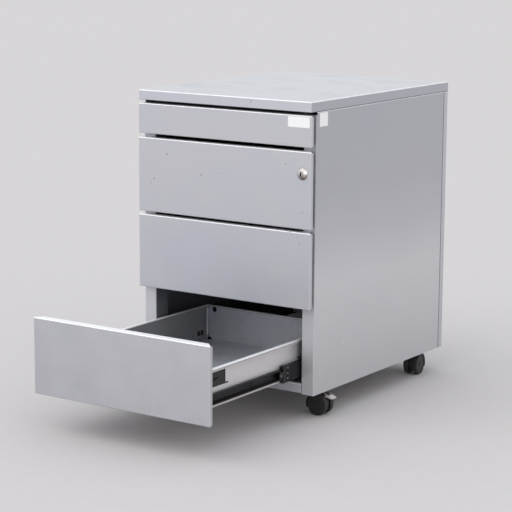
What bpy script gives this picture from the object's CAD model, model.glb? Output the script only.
# %% [markdown]
# # A steel drawer cabinet on castors
# A small office cabinet of folded sheet steel: a carcass under a capping cover, one shallow and three deep
# drawers on telescopic ball slides, a lock and four twin-wheel castors. Its shape comes from the CAD model,
# piece by piece. This lesson gives every piece its finish, and adds what the CAD leaves out: screw heads,
# labels and the small marks of use. It could all be one grey material, but then nothing would tell lacquer
# from plating or plastic, so each finish is worked out by itself.

# %% Load the frame
import math

import bmesh
import bpy
from mathutils import Matrix, Vector


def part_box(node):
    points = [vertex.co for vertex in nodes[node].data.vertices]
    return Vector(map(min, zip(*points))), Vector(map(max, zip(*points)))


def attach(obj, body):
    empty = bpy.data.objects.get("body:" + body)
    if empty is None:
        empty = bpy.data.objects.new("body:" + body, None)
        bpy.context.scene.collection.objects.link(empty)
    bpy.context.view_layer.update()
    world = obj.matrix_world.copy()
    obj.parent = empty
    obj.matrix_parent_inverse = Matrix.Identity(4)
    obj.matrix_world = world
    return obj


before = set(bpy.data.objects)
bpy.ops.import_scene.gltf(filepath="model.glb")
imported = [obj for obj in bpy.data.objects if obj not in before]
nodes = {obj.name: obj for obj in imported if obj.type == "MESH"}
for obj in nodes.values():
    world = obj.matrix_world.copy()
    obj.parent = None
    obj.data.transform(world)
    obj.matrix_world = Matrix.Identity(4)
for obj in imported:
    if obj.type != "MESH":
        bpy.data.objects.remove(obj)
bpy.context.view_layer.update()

MM = 0.001
DRAWERS = (1, 2, 3, 4)
CORNERS = ("fl", "fr", "rl", "rr")

# %% [markdown]
# ## The camera
# The photograph looks down by about eleven degrees on the front and the right side, from some three and a
# half metres away with a long lens. A camera could be aimed by eye, but this place was worked out from the
# corners of the cover and of the fronts, so edges fall where they fall in the photograph.

# %% Camera
YAW, PITCH, ROLL = (math.radians(a) for a in (34.144, 10.647, 0.375))
EYE = Vector((2.015964, -2.958333, 0.959708))
SENSOR = 36.0
PIXELS = 512
FOCAL_PIXELS = 1850.565

back = Vector((math.sin(YAW) * math.cos(PITCH), -math.cos(YAW) * math.cos(PITCH), math.sin(PITCH)))
right = (-back).cross(Vector((0, 0, 1))).normalized()
up = back.cross(right)
level_right, level_up = right.copy(), up.copy()
right = math.cos(ROLL) * level_right + math.sin(ROLL) * level_up
up = math.cos(ROLL) * level_up - math.sin(ROLL) * level_right

lens = bpy.data.cameras.new("photo_lens")
lens.sensor_width = SENSOR
lens.lens = FOCAL_PIXELS * SENSOR / PIXELS
lens.clip_end = 200
camera = bpy.data.objects.new("photo_camera", lens)
camera.matrix_world = Matrix((
    (right.x, up.x, back.x, EYE.x),
    (right.y, up.y, back.y, EYE.y),
    (right.z, up.z, back.z, EYE.z),
    (0, 0, 0, 1),
))
bpy.context.scene.collection.objects.link(camera)
bpy.context.scene.camera = camera
print("camera: lens", round(lens.lens, 1), "mm")

# %% [markdown]
# ## Shader sums
# A finish is mostly sums on masks: how far a point is from a fold, whether a noise is above a level. Wired
# by hand these are long chains of Math nodes. A small class that wraps a socket lets them be written as
# sums in Python, and one method adds any other node with its settings and sockets.


# %% The wire class
class Wire:
    """An output in a node tree, which stands in a sum as a number does."""

    def __init__(self, tree, socket=None):
        self.tree, self.socket = tree, socket

    def node(self, kind, settings=None, inputs=None, out=0):
        """Adds a node: settings first, then values or wires for its inputs. Returns one of its outputs."""
        made = self.tree.nodes.new(kind)
        for key, value in (settings or {}).items():
            setattr(made, key, value)
        for key, value in (inputs or {}).items():
            if isinstance(value, Wire):
                self.tree.links.new(value.socket, made.inputs[key])
            else:
                made.inputs[key].default_value = value
        return Wire(self.tree, made.outputs[out] if len(made.outputs) else None)

    def math(self, operation, *others):
        return self.node("ShaderNodeMath", {"operation": operation}, dict(enumerate((self, *others))))

    def __add__(self, other):
        return self.math("ADD", other)

    def __sub__(self, other):
        return self.math("SUBTRACT", other)

    def __rsub__(self, other):
        return self.node("ShaderNodeMath", {"operation": "SUBTRACT"}, {0: other, 1: self})

    def __mul__(self, other):
        return self.math("MULTIPLY", other)

    def __truediv__(self, other):
        return self.math("DIVIDE", other)

    def __abs__(self):
        return self.math("ABSOLUTE")

    __radd__, __rmul__ = __add__, __mul__

    def above(self, low, high):
        """0 below low, 1 above high, with a soft step between."""
        return self.node("ShaderNodeMapRange", {"interpolation_type": "SMOOTHSTEP"},
                         {"Value": self, "From Min": low, "From Max": high})

    def tint(self, one, other):
        """A colour that goes from one to other with this mask."""
        return self.node("ShaderNodeMix", {"data_type": "RGBA"}, {0: self, 6: one, 7: other}, out=2)

    def ramp(self, stops):
        """A colour read off (value from 0 to 1, colour) stops."""
        ramped = self.node("ShaderNodeValToRGB", {}, {0: self})
        elements = ramped.socket.node.color_ramp.elements
        while len(elements) < len(stops):
            elements.new(0.5)
        for element, (at, colour) in zip(elements, stops):
            element.position, element.color = at, colour
        return ramped

    def axis(self, k):
        """One coordinate of a place in millimetres: k is 0, 1 or 2 for x, y or z."""
        return self.node("ShaderNodeSeparateXYZ", {}, {0: self}, out=k) * (1 / MM)


def rgb(*bytes_):
    """The linear colour for red, green and blue as a paint card gives them, from 0 to 255."""
    part = [v / 255 for v in bytes_]
    return (*(v / 12.92 if v <= 0.04045 else ((v + 0.055) / 1.055) ** 2.4 for v in part), 1)


print("white card:", [round(v, 3) for v in rgb(230, 230, 230)[:3]])

# %% [markdown]
# ## A blank material
# Every finish starts the same way: a Principled shader, and the place of each point in Object coordinates.
# Those stay with the piece when it moves, so a pattern doesn't slide as a drawer opens. Noise reads them in
# metres; masks read them by axis in millimetres, as the CAD sizes are written.


# %% Material helpers
def blank(name, **sockets):
    """A new material, its shader, and Object coordinates; sockets are the shader's plain values."""
    material = bpy.data.materials.new(name)
    material.use_nodes = True
    shader = material.node_tree.nodes["Principled BSDF"]
    for key, value in sockets.items():
        shader.inputs[key.replace("_", " ").title().replace("Ior", "IOR")].default_value = value
    place = Wire(material.node_tree).node("ShaderNodeTexCoord", out="Object")
    return material, shader, place


def feed(shader, **wires):
    for key, wire in wires.items():
        wire.tree.links.new(wire.socket, shader.inputs[key.replace("_", " ").title()])


def noise(place, scale, detail=2.0, roughness=0.5, distortion=0.0, stretch=None, turn=(0, 0, 0)):
    """Noise from 0 to 1; stretch squeezes the pattern along each axis, turn tilts it first."""
    if stretch:
        place = place.node("ShaderNodeMapping", {}, {"Vector": place, "Scale": stretch, "Rotation": turn})
    return place.node("ShaderNodeTexNoise", {}, {
        "Vector": place, "Scale": scale, "Detail": detail, "Roughness": roughness, "Distortion": distortion})


def bump(place, height, strength, distance):
    return place.node("ShaderNodeBump", {}, {"Height": height, "Strength": strength, "Distance": distance})


def assign(material, *names):
    for name in names:
        for k in range(max(1, len(nodes[name].material_slots))):
            nodes[name].material_slots[k].material = material


print("helpers ready")

# %% [markdown]
# ## Silver lacquer
# The sheet is lacquered in a satin silver grey. Lacquer of this kind is clear binder with fine metal flakes:
# it takes a broad soft sheen, its tone drifts slightly between bluish and neutral over a hand's width, and
# the flakes sparkle when seen close. A plain metal would be too dark and a plain paint too chalky, so the
# shader is partly metallic. The photograph also shows a paler belt across the tall side, a darker one above
# it, and dull sheet behind the front fold. One picture can't tell whether that is coat, light or shadow, so
# these tones have no cause behind them: they were set by comparing renders with the photograph.

# %% Tones of the coat
COOL, WARM = rgb(190, 193, 201), rgb(196, 194, 197)
EVEN_COOL, EVEN_WARM = rgb(192, 193, 198), rgb(195, 194, 198)
COVER_COOL, COVER_WARM = rgb(194, 196, 205), rgb(198, 198, 203)
COVER_TOP, COVER_FLANK = rgb(197, 200, 203), rgb(176, 177, 184)
FLAKE, DULL_INSIDE = rgb(238, 240, 246), rgb(112, 113, 117)
BELTS_TOP = 600
BELTS = [(at / BELTS_TOP, rgb(*tone)) for at, tone in (
    (90, (194, 194, 197)), (190, (203, 203, 206)), (285, (211, 211, 214)), (385, (191, 191, 196)),
    (470, (180, 181, 186)), (580, (178, 179, 185)))]
print("belts:", len(BELTS))


# %% The coat
def fresh_coat(place, cool, warm):
    """The coat without marks: its tone and roughness, and the flakes for the bump."""
    drift = noise(place, 4.2, 3, 0.55, 0.5).above(0.34, 0.68)
    patch = noise(place, 15, 3, 0.6, 0.8).above(0.3, 0.7)
    flake = noise(place, 2600, 1, 0.6)
    tone = (drift * 0.7 + patch * 0.3).tint(cool, warm)
    tone = (flake.above(0.35, 0.68) * 0.1).tint(tone, FLAKE)
    return tone, 0.4 + (patch - 0.5) * 0.07, flake


def belted(place, tone, share):
    """A share of the fitted tones from the floor to the top, with wavy edges."""
    belts = ((place.axis(2) + 50 * noise(place, 5, 2) + place.axis(1) * 0.04) / BELTS_TOP).ramp(BELTS)
    return place.node("ShaderNodeMix", {"data_type": "RGBA"}, {0: share, 6: tone, 7: belts}, out=2)


def dull_inside(place, tone, low, face):
    """Dull behind the front fold and inside |x| = face: a fitted tone too."""
    hidden = 1 - abs(place.axis(0)).above(face - 0.2, face + 0.1)
    return (hidden * place.axis(1).above(low.y + 0.9, low.y + 1.2)).tint(tone, DULL_INSIDE)


print("coat ready")

# %% [markdown]
# ## Marks of use
# The photograph shows dull streaks and pale drops on the cover, greyer flanks beside it, bright lines along
# folds and lips, dark ones at seams, dark specks, and fronts that darken towards the floor. They are drawn
# here as wear and dirt, though part of it may be light on the metal. Each could be painted on a picture of
# its sheet, but a mask worked out from the box of the piece finds the piece's folds by itself.

# %% Tones of wear
DIRT, DUST, SCRATCH = rgb(118, 119, 120), rgb(120, 122, 124), rgb(226, 228, 232)
WIPED, PALE_DROP = rgb(176, 181, 186), rgb(222, 224, 228)
BRIGHT_FOLD, BRIGHT_EDGE = rgb(252, 252, 253), rgb(250, 250, 251)
DARK_SEAM, LIP_SHADE = rgb(58, 58, 62), rgb(126, 126, 132)
DARK_SPECK, PALE_SPECK = rgb(92, 92, 98), rgb(236, 238, 242)
DULL_WALL, PALE_WALL = rgb(128, 127, 128), rgb(216, 213, 213)
EDGE_SHINE = 0.95
print("wear tones ready")


# %% Wear
def soiled(place, tone, strength):
    """Dirt that thickens towards the floor."""
    grime = (1 - place.axis(2).above(-50, 550)) * (0.6 + 0.4 * noise(place, 12, 4, 0.6).above(0.3, 0.7))
    return (grime * strength).tint(tone, DIRT)


def wiped(place, tone, rough, high, strength):
    """Streaks and drops on the top face, and greyer flanks beside it."""
    top = place.axis(2).above(high.z - 1.2, high.z - 0.4)
    flank = abs(place.axis(0)).above(high.x - 0.7, high.x - 0.1) * (1 - top)
    streaks = top * noise(place, 7, 4, 0.62, 0.9, (1, 2.6, 1), (0, 0, 0.6)).above(0.46, 0.66)
    drops = top * noise(place, 46, 2, 0.5, 0.3).above(0.6, 0.72)
    tone = (flank * 0.85).tint((top * 0.8).tint(tone, COVER_TOP), COVER_FLANK)
    tone = (drops * strength * 0.5).tint((streaks * strength).tint(tone, WIPED), PALE_DROP)
    return tone, rough + streaks * 0.1 * strength


def scratched(place, tone, strength):
    """Two sets of hair scratches that cross."""
    fine = noise(place, 8, 2, 0.5, 0, (2, 2, 85), (0.5, 0.3, 0)).above(0.71, 0.76)
    cross = noise(place, 9, 2, 0.5, 0, (95, 95, 2), (0.2, 0.5, 0.9)).above(0.73, 0.78)
    return ((fine + cross) * strength).tint(tone, SCRATCH)


def worn_folds(place, tone, rough, low, high, fold, upright):
    """The top folds bright over fold mm, and the upright ones by a share of that."""
    x, y, z = (place.axis(k) for k in range(3))
    beside = [(1 - (at - a).math("MINIMUM", b - at) / fold).math("MAXIMUM", 0.0)
              for at, a, b in zip((x, y), low, high)]
    top = (1 - (high.z - z) / fold).math("MAXIMUM", 0.0)
    worn = (top * (beside[0] + beside[1])).above(0.1, 0.4) + beside[0] * beside[1] * upright
    worn = worn.math("MINIMUM", 1.0) * (0.75 + 0.25 * noise(place, 60, 3).above(0.35, 0.6))
    return (worn * EDGE_SHINE).tint(tone, BRIGHT_FOLD), rough - worn * 0.08


def box_walls(place, tone, face):
    """A drawer box's wall: pale outside |x| = face, and dull on its inner face."""
    reach = abs(place.axis(0))
    outer = reach.above(face - 0.5, face - 0.1)
    inner = reach.above(face - 1.5, face - 1.3) * (1 - outer)
    return (outer * 0.8).tint((inner * 0.8).tint(tone, DULL_WALL), PALE_WALL)


def seam(place, tone, axis, at, half, colour, strength):
    """A straight seam or lapped edge, half mm to either side of a place on one axis."""
    away = abs(place.axis(axis) - at)
    return ((1 - away.above(0.6 * half, half)) * strength).tint(tone, colour)


def speck(place, tone, centre, radius, colour, strength):
    """A small round mark on the surface."""
    away = place.node("ShaderNodeVectorMath", {"operation": "DISTANCE"},
                      {0: place, 1: Vector(centre) * MM}, out="Value")
    return ((1 - away.above(0.5 * radius * MM, radius * MM)) * strength).tint(tone, colour)


print("wear ready")


# %% Lacquer
def lacquer(name, cool, warm, low, high, belts=0.0, inside=None, soil=0.0, wipe=0.0, scratches=0.3,
            fold=2.4, upright=0.25, dust=0.0, wall=None, lines=(), marks=()):
    """The coat and its marks, each over the last. low and high are the piece's box in mm; lines and marks
    are what seam and speck take."""
    material, shader, place = blank(name, metallic=0.3, specular_ior_level=0.5, coat_weight=0.22,
                                    coat_roughness=0.22)
    tone, rough, flake = fresh_coat(place, cool, warm)
    if belts:
        tone = belted(place, tone, belts)
    if inside:
        tone = dull_inside(place, tone, low, inside)
    if soil:
        tone = soiled(place, tone, soil)
    if wipe:
        tone, rough = wiped(place, tone, rough, high, wipe)
    tone = scratched(place, tone, scratches)
    tone, rough = worn_folds(place, tone, rough, low, high, fold, upright)
    if dust:
        tone = (noise(place, 30, 4, 0.65).above(0.45, 0.75) * dust).tint(tone, DUST)
    if wall:
        tone = box_walls(place, tone, wall)
    for line in lines:
        tone = seam(place, tone, *line)
    for mark in marks:
        tone = speck(place, tone, *mark)
    peel = noise(place, 420, 1, 0.4)
    feed(shader, base_color=tone, roughness=rough, normal=bump(place, peel + flake * 0.3, 0.05, 0.00008))
    return material


# Dark specks on the drawer fronts, placed from the photograph: x, z, radius and strength.
SPECKS = {
    2: ((-131.4, 489.2, 1.9, 0.9), (-162.9, 438.8, 1.9, 0.9), (-49.8, 455, 1.9, 0.9), (-9.7, 461.9, 1.6, 0.5),
        (144, 492.3, 1.7, 0.7), (-170.7, 430.8, 1.6, 0.7), (181.7, 403.6, 1.6, 0.6)),
    3: ((155.4, 365.4, 2.4, 0.5), (175.7, 344.4, 2, 0.4)),
}
for i in DRAWERS:
    name = f"drawer_front_{i}"
    low, high = (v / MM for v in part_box(name))
    cool, warm = (EVEN_COOL, EVEN_WARM) if i == 4 else (COOL, WARM)
    specks = [((x, low.y, z), radius, DARK_SPECK, depth) for x, z, radius, depth in SPECKS.get(i, ())]
    assign(lacquer(f"front_lacquer_{i}", cool, warm, low, high, soil=0.3 if i == 4 else 0.12,
                   lines=[(2, high.z, 1, BRIGHT_EDGE, 0.85)], marks=specks), name)
    print(name, "lacquered,", len(specks), "specks")

# %% [markdown]
# ## Carcass and boxes
# Neighbouring sheets meet in dark seams, and a lapped edge shows as a bright line. They could be left to the
# gaps between the solids, but those are about a millimetre wide or less, which a picture of the whole
# cabinet loses, so each is also drawn on the sheet beside it.

# %% Carcass
SIDE_FACE = 199.5
low, high = (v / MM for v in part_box("top_cover"))
nick = [((65.5 + k, low.y, 604 + 1.6 * k), 1.1, DARK_SPECK, 0.8) for k in (-1, 0, 1)]
assign(lacquer("cover_lacquer", COVER_COOL, COVER_WARM, low, high, wipe=0.36, scratches=0.5,
               lines=[(2, low.z, 1, DARK_SEAM, 0.7)], marks=nick), "top_cover")
for side in ("left", "right"):
    name = f"side_panel_{side}"
    low, high = (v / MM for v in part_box(name))
    assign(lacquer(f"side_lacquer_{side}", COOL, WARM, low, high, belts=0.85, inside=SIDE_FACE, soil=0.04,
                   upright=0, lines=[(1, high.y, 1.1, DARK_SEAM, 0.85), (2, high.z, 1, DARK_SEAM, 0.85)],
                   marks=[((200, 21.1, 136.3), 2.5, PALE_SPECK, 0.6)] if side == "right" else ()), name)
low, high = (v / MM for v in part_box("back_panel"))
assign(lacquer("back_lacquer", COOL, WARM, low, high, soil=0.1,
               lines=[(1, low.y, 1.1, DARK_SEAM, 0.85), (2, high.z, 1, DARK_SEAM, 0.85)]), "back_panel")
for name in ("base_pan", "top_rail"):
    assign(lacquer(f"{name}_lacquer", COOL, WARM, *(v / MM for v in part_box(name)), dust=0.2), name)
print("carcass lacquered")

# %% Boxes
BOX_FACE = 159.9
BACK_LAP = 9
for i in DRAWERS:
    name = f"drawer_box_{i}"
    low, high = (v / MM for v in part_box(name))
    rim_and_lap = [(1, high.y - BACK_LAP, 1, BRIGHT_EDGE, 0.9), (2, high.z - 3.8, 1.1, LIP_SHADE, 0.75),
                   (2, high.z - 0.5, 2.2, BRIGHT_EDGE, 0.95)]
    assign(lacquer(f"box_lacquer_{i}", COOL, WARM, low, high, scratches=0.2, fold=5.5, dust=0.3,
                   wall=BOX_FACE, lines=rim_and_lap), name)
print("boxes lacquered")

# %% [markdown]
# ## Plated and blackened steel
# The slides are black strip, a little rubbed along their length. The posts, castor plates and lock bar hardly
# show, and are taken to be zinc plated, with the faint spangle and the blue-grey of bright zinc. The wear
# could be painted by hand, but noise stretched along the slide gives the same lengthwise rubbing.


# %% Blackened and plated strip
def black_strip(name):
    material, shader, place = blank(name, metallic=0.7, specular_ior_level=0.5)
    rub = noise(place, 9, 3, 0.6, 0, (8, 1, 60)).above(0.5, 0.75)
    oil = noise(place, 40, 3).above(0.4, 0.7)
    feed(shader, base_color=(rub * 0.35).tint(rgb(38, 35, 38), rgb(84, 81, 84)), roughness=0.34 + oil * 0.14,
         normal=bump(place, noise(place, 700, 2), 0.05, 0.0001))
    return material


def plated(name, tone, pale, rough, grain=(30, 2, 30)):
    material, shader, place = blank(name, metallic=1.0)
    streak = noise(place, 24, 3, 0.6, 0, grain)
    spangle = place.node("ShaderNodeTexVoronoi", {}, {"Vector": place, "Scale": 180.0}, out="Color")
    spangle = spangle.node("ShaderNodeSeparateColor", {}, {0: spangle})
    feed(shader, base_color=(streak * 0.6 + spangle * 0.4).tint(tone, pale),
         roughness=rough + (streak - 0.5) * 0.12, normal=bump(place, streak, 0.08, 0.0001))
    return material


slide_black = black_strip("slide_black")
zinc = plated("bright_zinc", rgb(150, 153, 160), rgb(196, 198, 204), 0.34)
steel_ball = plated("polished_steel", rgb(200, 202, 206), rgb(226, 227, 230), 0.14, (1, 1, 1))
assign(slide_black, "cabinet_slides")
for i in DRAWERS:
    assign(slide_black, f"middle_slides_{i}", f"drawer_slides_{i}")
    assign(steel_ball, f"slide_balls_{i}")
assign(zinc, "slide_posts", "castor_mounts", "lock_bar", "lock_cam", *(f"castor_axle_{c}" for c in CORNERS))
print("slides, posts and plates plated")

# %% [markdown]
# ## The lock
# Its nose is taken to be nickel plated: bright on top and darker underneath, with a dark ring between the
# barrel and the plug and a black key slot. The slot could be cut into the solid, but at this size a picture
# shows only its colour. It is a mask on the distance from the lock's own axis, so it turns with the plug.

# %% Lock finish
PLUG_R = 5
SLOT_HALF_W, SLOT_HALF_H = 1.4, 3.8
BRIGHT_NICKEL, DARK_NICKEL, SLOT_BLACK = rgb(250, 246, 243), rgb(150, 141, 136), rgb(12, 10, 9)


def lock_finish(name, key_slot):
    material, shader, place = blank(name, metallic=1.0)
    low, high = (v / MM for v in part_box("lock_plug"))
    across, upward = place.axis(0) - (low.x + high.x) / 2, place.axis(2) - (low.z + high.z) / 2
    under = (4 * noise(place, 180, 3) - upward).above(-3, 10)
    off_ring = (across * across + upward * upward).math("SQRT") - PLUG_R
    dirt = (1 - abs(off_ring).above(0.15, 0.5)) * 0.7
    if key_slot:
        slot = 1 - abs(across).above(SLOT_HALF_W, SLOT_HALF_W + 0.4)
        dirt = dirt.math("MAXIMUM", slot * (1 - abs(upward).above(SLOT_HALF_H, SLOT_HALF_H + 0.4)))
    tone = dirt.tint(under.tint(BRIGHT_NICKEL, DARK_NICKEL), SLOT_BLACK)
    feed(shader, base_color=tone, roughness=0.14 + dirt * 0.5)
    return material


assign(lock_finish("barrel_nickel", False), "lock_barrel")
assign(lock_finish("plug_nickel", True), "lock_plug")
print("lock finished")

# %% [markdown]
# ## Moulded plastics
# Cages, guides and brackets are taken to be a matt black plastic, the castors a harder one with a light
# sheen, and the brake levers a pale one. A mould leaves a fine grain, and a wheel picks up pale dust on its
# tread. Both could be one noise, but the grain changes how light falls and the dust changes the colour, so
# the grain is a bump of fine noise and the dust a mask on the distance from the axle.


# %% Plastics
def moulded(name, tone, pale, rough):
    material, shader, place = blank(name, specular_ior_level=0.45)
    mottle = noise(place, 60, 3, 0.6).above(0.35, 0.7)
    feed(shader, base_color=(mottle * 0.5).tint(tone, pale), roughness=rough + (mottle - 0.5) * 0.08,
         normal=bump(place, noise(place, 900, 2), 0.12, 0.0001))
    return material


def wheel_finish(name, axle, side, radius):
    """Black wheel, hazy on its face and dusty on its tread; side is the axle's direction. All in metres."""
    material, shader, place = blank(name, specular_ior_level=0.45)
    offset = place.node("ShaderNodeVectorMath", {"operation": "SUBTRACT"}, {0: place, 1: axle})
    along = offset.node("ShaderNodeVectorMath", {"operation": "DOT_PRODUCT"}, {0: offset, 1: side},
                        out="Value")
    length = offset.node("ShaderNodeVectorMath", {"operation": "LENGTH"}, {0: offset}, out="Value")
    from_axle = (length * length - along * along).math("SQRT")
    tread = from_axle.above(radius - 2.2 * MM, radius - 0.4 * MM)
    grit = noise(place, 260, 4, 0.7).above(0.38, 0.62)
    haze = noise(place, 70, 3, 0.6).above(0.4, 0.75)
    tone = (haze * 0.3).tint(rgb(24, 24, 26), rgb(42, 42, 44))
    feed(shader, base_color=(tread * (0.08 + grit * 0.3)).tint(tone, rgb(96, 93, 90)),
         roughness=0.42 + tread * 0.25 + haze * 0.08, normal=bump(place, grit, 0.15, 0.0001))
    return material


def lever_finish():
    """A pale grey paddle with a darker root over the wheel, as the photograph shows it."""
    material, shader, place = blank("lever_plastic", specular_ior_level=0.45, roughness=0.4)
    low, high = (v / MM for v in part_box("brake_lever_fr"))
    height = (place.axis(2) - low.z) / (high.z - low.z)
    root = (height + 0.1 * noise(place, 300, 2)).above(0.5, 0.68)
    grit = noise(place, 260, 4, 0.7).above(0.45, 0.75)
    tone = (grit * 0.3).tint(rgb(200, 195, 194), rgb(140, 134, 131))
    feed(shader, base_color=root.tint(tone, rgb(138, 124, 124)), normal=bump(place, grit, 0.1, 0.0001))
    return material


black_plastic = moulded("black_plastic", rgb(18, 18, 19), rgb(30, 30, 31), 0.55)
bracket_plastic = moulded("bracket_plastic", rgb(30, 28, 30), rgb(42, 40, 42), 0.5)
castor_plastic = moulded("castor_plastic", rgb(38, 38, 40), rgb(52, 52, 54), 0.42)
assign(black_plastic, "lock_guides", *(f"slide_cages_{i}" for i in DRAWERS))
assign(bracket_plastic, *(f"front_brackets_{i}" for i in DRAWERS[1:]))
assign(castor_plastic, *(f"castor_hood_{c}" for c in CORNERS))
assign(lever_finish(), "brake_lever_fl", "brake_lever_fr")
print("plastics moulded")

# %% Wheels
wheel_r = (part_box("wheel_a_fl")[1].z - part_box("wheel_a_fl")[0].z) / 2
for c in CORNERS:
    a, b = (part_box(f"wheel_{w}_{c}") for w in "ab")
    centre_a, centre_b = (a[0] + a[1]) / 2, (b[0] + b[1]) / 2
    for w in "ab":
        assign(wheel_finish(f"wheel_{w}_{c}_plastic", (centre_a + centre_b) / 2,
                            (centre_b - centre_a).normalized(), wheel_r), f"wheel_{w}_{c}")
print("wheels of radius", round(wheel_r / MM, 1), "mm")

# %% [markdown]
# ## Labels
# Two small white film labels are stuck on the cabinet: one at the right end of the top drawer, one high on
# the side. What is printed on them isn't part of the object, so they are blank. A label could be a patch of
# colour in the lacquer, but film has a thickness that catches light at its edge, so each is a thin sheet
# with round corners, a tenth of a millimetre proud.


# %% Labels
FILM_T = 0.12
FILM_GAP = 0.02


def film_finish(name):
    material, shader, place = blank(name, coat_weight=0.25, coat_roughness=0.25)
    soil = noise(place, 90, 4, 0.65).above(0.5, 0.8)
    feed(shader, base_color=(soil * 0.2).tint(rgb(253, 253, 253), rgb(226, 226, 224)),
         roughness=0.38 + soil * 0.2)
    return material


def label(name, body, corner, across, upward, size, radius):
    """A film sheet with round corners: its lower corner, the two directions along it and its size, in mm."""
    across, upward = Vector(across), Vector(upward)
    outward = across.cross(upward)
    mesh = bmesh.new()
    ring = []
    for cx, cy, start in ((radius, radius, 180), (size[0] - radius, radius, 270),
                          (size[0] - radius, size[1] - radius, 0), (radius, size[1] - radius, 90)):
        for k in range(6):
            a = math.radians(start + 18 * k)
            flat = across * (cx + radius * math.cos(a)) + upward * (cy + radius * math.sin(a))
            ring.append(mesh.verts.new((Vector(corner) + flat + outward * FILM_GAP) * MM))
    face = mesh.faces.new(ring)
    lifted = bmesh.ops.extrude_face_region(mesh, geom=[face])["geom"]
    moved = [v for v in lifted if isinstance(v, bmesh.types.BMVert)]
    bmesh.ops.translate(mesh, vec=outward * FILM_T * MM, verts=moved)
    bmesh.ops.recalc_face_normals(mesh, faces=mesh.faces)
    data = bpy.data.meshes.new(name)
    mesh.to_mesh(data)
    mesh.free()
    data.materials.append(white_film)
    piece = bpy.data.objects.new(name, data)
    bpy.context.scene.collection.objects.link(piece)
    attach(piece, body)
    print(name, "on", body)


white_film = film_finish("white_film")
front_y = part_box("drawer_front_1")[0].y / MM
side_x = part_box("side_panel_right")[1].x / MM
label("drawer_label", "drawer_1", (148.5, front_y, 562.7), (1, 0, 0), (0, 0, 1), (48, 19.5), 2.2)
label("side_label", "cabinet", (side_x, -73.4, 562.6), (0, 1, 0), (0, 0, 1), (28, 26), 0.8)

# %% [markdown]
# ## Screws
# Pan-head screws hold the slides to the boxes, the brackets to the fronts and the castor plates to the base
# pan. Each could be copied by hand, but they repeat by the dozen, so one head is modelled, a Geometry Nodes
# tree puts it on every point of a small guide mesh, turned by chance as a screwdriver leaves it, and the
# result is turned into plain mesh for each body.


# %% One screw head
def screw_head(name, radius, height):
    """A domed head with a cross recess, on twelve rays: base at z = 0, looking along +Z."""
    mesh = bmesh.new()
    rings = []
    for reach, level in ((radius, 0), (radius, 0.35 * height), (0.8 * radius, 0.8 * height),
                         ("cross", height), ("cross", 0.45 * height)):
        ring = []
        for k in range(12):
            angle, r = math.radians(30 * k - 15), reach
            if reach == "cross":
                arm = k % 3 != 2
                r = radius * (0.56 if arm else 0.2)
                angle = math.radians(90 * (k // 3) + ((-7 if k % 3 == 0 else 7) if arm else 45))
            ring.append(mesh.verts.new((r * math.cos(angle), r * math.sin(angle), level)))
        rings.append(ring)
    for one, other in zip(rings, rings[1:]):
        for k in range(12):
            mesh.faces.new((one[k], one[(k + 1) % 12], other[(k + 1) % 12], other[k]))
    mesh.faces.new(rings[-1])
    mesh.faces.new(rings[0][::-1])
    data = bpy.data.meshes.new(name)
    mesh.to_mesh(data)
    mesh.free()
    return bpy.data.objects.new(name, data)


screw_steel = plated("screw_steel", rgb(120, 121, 124), rgb(168, 169, 172), 0.36, (1, 1, 1))
black_screw = plated("black_screw", rgb(40, 40, 42), rgb(70, 70, 72), 0.4, (1, 1, 1))
pan_screw = screw_head("pan_screw", 3.3 * MM, 1.5 * MM)
small_screw = screw_head("small_screw", 2.5 * MM, 0.8 * MM)
print("screw head:", len(pan_screw.data.polygons), "faces")


# %% The tree that sets screws
def screw_tree():
    tree = bpy.data.node_groups.new("set_screws", "GeometryNodeTree")
    face = tree.interface
    face.new_socket("Guide", in_out="INPUT", socket_type="NodeSocketGeometry")
    head = face.new_socket("Head", in_out="INPUT", socket_type="NodeSocketObject").identifier
    finish = face.new_socket("Finish", in_out="INPUT", socket_type="NodeSocketMaterial").identifier
    seed = face.new_socket("Seed", in_out="INPUT", socket_type="NodeSocketInt").identifier
    face.new_socket("Screws", in_out="OUTPUT", socket_type="NodeSocketGeometry")
    add, join = tree.nodes.new, tree.links.new
    given, result = add("NodeGroupInput"), add("NodeGroupOutput")
    info = add("GeometryNodeObjectInfo")
    outward = add("GeometryNodeInputNamedAttribute")
    outward.data_type = "FLOAT_VECTOR"
    outward.inputs["Name"].default_value = "outward"
    aim = add("FunctionNodeAlignRotationToVector")
    aim.axis = "Z"
    chance = add("FunctionNodeRandomValue")
    chance.data_type = "FLOAT"
    chance.inputs[3].default_value = math.tau
    spin = add("ShaderNodeCombineXYZ")
    turned = add("FunctionNodeRotateRotation")
    turned.rotation_space = "LOCAL"
    to_rotation = add("FunctionNodeEulerToRotation")
    placed = add("GeometryNodeInstanceOnPoints")
    real, coat = add("GeometryNodeRealizeInstances"), add("GeometryNodeSetMaterial")
    for source, out, target, into in (
            (given, "Guide", placed, "Points"), (given, "Head", info, "Object"),
            (info, "Geometry", placed, "Instance"), (outward, "Attribute", aim, "Vector"),
            (given, "Seed", chance, "Seed"), (chance, 1, spin, "Z"), (spin, 0, to_rotation, 0),
            (aim, 0, turned, 0), (to_rotation, 0, turned, 1), (turned, 0, placed, "Rotation"),
            (placed, 0, real, 0), (real, 0, coat, 0), (given, "Finish", coat, "Material"),
            (coat, 0, result, 0)):
        join(source.outputs[out], target.inputs[into])
    return tree, head, finish, seed


set_screws, HEAD, FINISH, SEED = screw_tree()
print("tree:", len(set_screws.nodes), "nodes")


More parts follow.
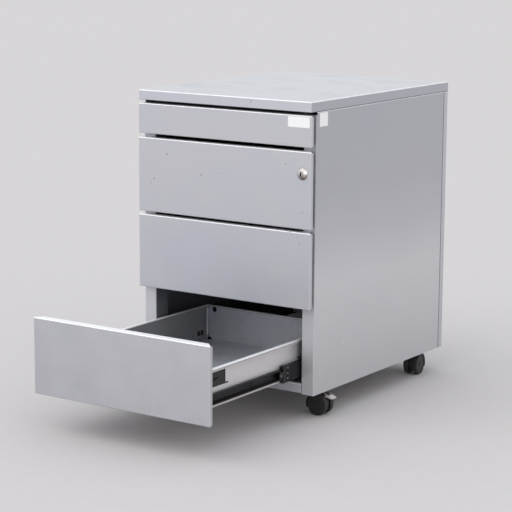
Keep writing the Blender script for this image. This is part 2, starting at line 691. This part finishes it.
# %% Screws, body by body
def screws(name, body, head, finish, places):
    """Real mesh screws on one body; places are (point in mm, outward direction)."""
    guide_mesh = bpy.data.meshes.new(f"{name}_guide")
    guide_mesh.from_pydata([Vector(at) * MM for at, _ in places], [], [])
    outward = guide_mesh.attributes.new("outward", "FLOAT_VECTOR", "POINT")
    for slot, (_, way) in zip(outward.data, places):
        slot.vector = way
    guide = bpy.data.objects.new(f"{name}_guide", guide_mesh)
    bpy.context.scene.collection.objects.link(guide)
    setter = guide.modifiers.new("set screws", "NODES")
    setter.node_group = set_screws
    setter[HEAD], setter[FINISH], setter[SEED] = head, finish, len(places)
    graph = bpy.context.evaluated_depsgraph_get()
    solid = bpy.data.meshes.new_from_object(guide.evaluated_get(graph))
    guide.modifiers.remove(setter)
    bpy.data.objects.remove(guide)
    solid.name = name
    piece = bpy.data.objects.new(name, solid)
    bpy.context.scene.collection.objects.link(piece)
    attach(piece, body)
    print(name, "on", body, "-", len(places), "screws,", len(solid.polygons), "faces")


# Through the web of the drawer member into the box's wall.
SLIDE_WEB = 161
SLIDE_HOLES = (46, 174, 302, 430)
for i in DRAWERS:
    low, high = (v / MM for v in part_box(f"drawer_slides_{i}"))
    level = (low.z + high.z) / 2
    screws(f"slide_screws_{i}", f"drawer_{i}", pan_screw, black_screw,
           [((side * SLIDE_WEB, low.y + along, level), (side, 0, 0))
            for side in (-1, 1) for along in SLIDE_HOLES])

# Through the foot of each bracket into the drawer front.
BRACKET_T = 3
BRACKET_INSET = 13
BRACKET_HOLES = (9, 25)
for i in DRAWERS[1:]:
    low, high = (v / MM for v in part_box(f"front_brackets_{i}"))
    screws(f"bracket_screws_{i}", f"drawer_{i}", pan_screw, screw_steel,
           [((side * (high.x - BRACKET_INSET), low.y + BRACKET_T, low.z + rise), (0, 1, 0))
            for side in (-1, 1) for rise in BRACKET_HOLES])

# Four under each castor plate: from the outline of all plates to a plate's middle, and from there to a screw.
PLATE_UNDERSIDE = 50.4
PLATE_MIDDLE = 19
SCREW_OUT = 14.5
low, high = (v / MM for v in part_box("castor_mounts"))
screws("castor_screws", "cabinet", small_screw, screw_steel,
       [((x + dx, y + dy, PLATE_UNDERSIDE), (0, 0, -1))
        for x in (low.x + PLATE_MIDDLE, high.x - PLATE_MIDDLE)
        for y in (low.y + PLATE_MIDDLE, high.y - PLATE_MIDDLE)
        for dx in (-SCREW_OUT, SCREW_OUT) for dy in (-SCREW_OUT, SCREW_OUT)])

# One that holds the cam on the plug.
CAM_T = 2
low, high = (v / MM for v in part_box("lock_plug"))
cam_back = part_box("lock_cam")[0].y / MM + CAM_T
screws("cam_screw", "lock_plug", small_screw, screw_steel,
       [(((low.x + high.x) / 2, cam_back, (low.z + high.z) / 2), (0, 1, 0))])

# %% [markdown]
# ## Floor and light
# The object stands on a plain pale floor under soft light, as under a bright cloudy sky: brightest
# overhead and about a third as bright at the horizon. Lamps alone would leave the floor dark a few metres
# away, so the sky does most of the work. Two soft suns help it: one gives the front its slight lead, and a
# weaker, warmer one lifts the right side.

# %% Floor
FLOOR_HALF = 60
floor_mesh = bpy.data.meshes.new("floor")
floor_mesh.from_pydata([(-FLOOR_HALF, -FLOOR_HALF, 0), (FLOOR_HALF, -FLOOR_HALF, 0),
                        (FLOOR_HALF, FLOOR_HALF, 0), (-FLOOR_HALF, FLOOR_HALF, 0)], [], [(0, 1, 2, 3)])
floor = bpy.data.objects.new("floor", floor_mesh)
bpy.context.scene.collection.objects.link(floor)
floor_paint, shader, place = blank("floor_paint", roughness=0.85, specular_ior_level=0.2)
feed(shader, base_color=noise(place, 30, 4, 0.7).tint(rgb(199, 195, 193), rgb(205, 201, 199)))
floor.data.materials.append(floor_paint)
print("floor laid")

# %% Sky and suns
ZENITH = 1.36
world = bpy.data.worlds.new("cloudy_sky")
bpy.context.scene.world = world
world.use_nodes = True
tree = world.node_tree
tree.nodes.clear()
start = Wire(tree)
camera_ray, glossy_ray, through_ray = (
    start.node("ShaderNodeLightPath", out=f"Is {ray} Ray") for ray in ("Camera", "Glossy", "Transmission"))
seen = camera_ray.math("MAXIMUM", glossy_ray.math("MAXIMUM", through_ray))
toward = start.node("ShaderNodeTexCoord", out="Generated")
height = toward.node("ShaderNodeSeparateXYZ", {}, {0: toward}, out=2)
height = height.math("MAXIMUM", 0.0)
overcast = (1 + 2 * height) / 3 * ZENITH
sky = start.node("ShaderNodeBackground", {}, {"Color": rgb(246, 249, 255), "Strength": overcast})
pale = start.node("ShaderNodeBackground", {}, {"Color": rgb(240, 240, 241), "Strength": 1.0})
mixed = start.node("ShaderNodeMixShader", {}, {0: seen, 1: sky, 2: pale})
start.node("ShaderNodeOutputWorld", {}, {"Surface": mixed})


def soft_sun(name, toward, strength, angle, colour=(1, 1, 1)):
    data = bpy.data.lights.new(name, "SUN")
    data.energy, data.angle, data.color = strength, math.radians(angle), colour
    made = bpy.data.objects.new(name, data)
    made.rotation_euler = Vector(toward).to_track_quat("Z", "Y").to_euler()
    bpy.context.scene.collection.objects.link(made)
    print(name, strength, "W/m2")


soft_sun("front_sun", (-0.45, -0.7, 0.55), 0.88, 80)
soft_sun("side_sun", (0.85, -0.3, 0.3), 0.19, 45, (1, 0.95, 0.9))
bpy.context.scene.view_settings.view_transform = "Standard"
